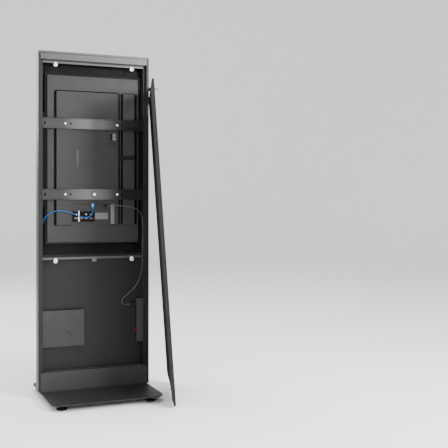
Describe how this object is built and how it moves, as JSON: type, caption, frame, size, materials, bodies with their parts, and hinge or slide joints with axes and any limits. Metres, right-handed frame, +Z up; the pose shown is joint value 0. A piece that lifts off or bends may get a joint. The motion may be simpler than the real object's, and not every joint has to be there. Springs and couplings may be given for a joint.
{
  "type": "touchscreen kiosk",
  "caption": "Slim free-standing portrait touchscreen kiosk on a base plate, its rear cover lifted off and leaning beside it, with display, rails and wiring inside.",
  "frame": {"origin": "on the floor at the middle of the bounding footprint, with the rear cover leaning beside the cabinet; the cabinet's own centre line is 87 mm towards +X and 132 mm towards -Y of it", "axes": "+Z up, -Y towards the person who uses the screen, +Y towards the open rear, +X to the right as seen from the front"},
  "size_m": [0.8144, 0.765, 1.938],
  "materials": {
    "dark_anodised": "satin dark grey anodised",
    "light_anodised": "satin light grey anodised",
    "powder_coat": "fine textured dark grey powder coat",
    "black_steel": "satin black",
    "zinc": "bright zinc",
    "bare_aluminium": "mill finish",
    "display_plastic": "fine matt texture",
    "black_plastic": "satin",
    "white_plastic": "smooth",
    "red_plastic": "smooth",
    "blue_plastic": "smooth cable jacket",
    "black_rubber": "matt",
    "grey_jacket": "matt cable jacket",
    "dark_glass": "tinted, glossy",
    "screen": "matt screen surface",
    "circuit_board": "solder resist"
  },
  "bodies": {
    "cabinet": {"base_plate": "powder_coat", "side_profile_left": "dark_anodised", "side_profile_right": "dark_anodised", "base_bracket_left": "zinc", "base_bracket_right": "zinc", "slotted_upright_left": "black_steel", "slotted_upright_right": "black_steel", "upper_magnet_left": "white_plastic", "upper_magnet_right": "white_plastic", "lower_magnet_left": "white_plastic", "lower_magnet_right": "white_plastic", "header_profile": "light_anodised", "top_cap": "light_anodised", "bottom_beam": "powder_coat", "front_glass": "dark_glass", "glass_gasket": "black_rubber", "touch_film": "dark_glass", "mid_bar": "light_anodised", "mid_bar_catch": "zinc", "mini_pc_plate": "dark_anodised", "power_strip": "dark_anodised", "strip_face": "black_plastic", "strip_plug": "black_plastic", "mains_gland": "black_plastic", "mains_lead": "black_rubber", "display_lead": "grey_jacket", "patch_cable": "blue_plastic", "network_coupler": "black_plastic"},
    "display": {"display_bezel": "black_plastic", "lcd_panel": "screen", "backlight_chassis": "bare_aluminium", "display_back_cover": "display_plastic", "electronics_cover": "display_plastic", "display_side_cover": "display_plastic", "cable_strap": "black_plastic", "input_panel": "display_plastic", "input_sockets": "black_plastic", "service_block": "display_plastic", "main_board": "circuit_board", "power_board": "circuit_board", "upper_rail": "black_steel", "lower_rail": "black_steel", "display_screw_upper_left": "zinc", "display_screw_upper_right": "zinc", "display_screw_lower_left": "zinc", "display_screw_lower_right": "zinc", "display_lead_plug": "black_plastic", "patch_plug": "blue_plastic"},
    "clamp_knob": {"rail_knob": "white_plastic"},
    "mains_switch": {"switch_rocker": "red_plastic"},
    "rear_cover": {"cover_panel": "powder_coat", "cover_handle": "black_plastic", "lock_barrel": "zinc"},
    "cover_lock": {"lock_knob": "zinc", "lock_cam": "zinc"},
    "foot_front_left": {"foot_front_left": "black_rubber"},
    "foot_front_right": {"foot_front_right": "black_rubber"},
    "foot_rear_left": {"foot_rear_left": "black_rubber"},
    "foot_rear_right": {"foot_rear_right": "black_rubber"}
  },
  "joints": [
    {"name": "display_height", "type": "slide", "parent": "cabinet", "child": "display", "axis": [0, 0, 1], "range_m": [-0.05, 0.025], "deforming": ["display_lead", "patch_cable"]},
    {"name": "clamp_knob_turn", "type": "hinge", "parent": "display", "child": "clamp_knob", "pos_m": [0.08715, -0.1145, 1.138], "axis": [0, 1, 0], "continuous": true},
    {"name": "mains_switch_rock", "type": "hinge", "parent": "cabinet", "child": "mains_switch", "pos_m": [-0.16345, -0.1425, 0.35], "axis": [0, 1, 0], "range_deg": [-14, 0]},
    {"name": "cover_lift_off", "type": "slide", "parent": "cabinet", "child": "rear_cover", "axis": [-0.6769, 0.2044, 0.7071], "range_m": [0, 0.3]},
    {"name": "cover_lock_turn", "type": "hinge", "parent": "rear_cover", "child": "cover_lock", "pos_m": [-0.15874, 0.22493, 1.70931], "axis": [-0.9551, 0.2884, 0.0674], "range_deg": [0, 90]},
    {"name": "foot_front_left_turn", "type": "hinge", "parent": "cabinet", "child": "foot_front_left", "pos_m": [-0.15785, -0.3105, 0], "axis": [0, 0, 1], "continuous": true},
    {"name": "foot_front_right_turn", "type": "hinge", "parent": "cabinet", "child": "foot_front_right", "pos_m": [0.33215, -0.3105, 0], "axis": [0, 0, 1], "continuous": true},
    {"name": "foot_rear_left_turn", "type": "hinge", "parent": "cabinet", "child": "foot_rear_left", "pos_m": [-0.15785, 0.1675, 0], "axis": [0, 0, 1], "continuous": true},
    {"name": "foot_rear_right_turn", "type": "hinge", "parent": "cabinet", "child": "foot_rear_right", "pos_m": [0.33215, 0.1675, 0], "axis": [0, 0, 1], "continuous": true}
  ]
}
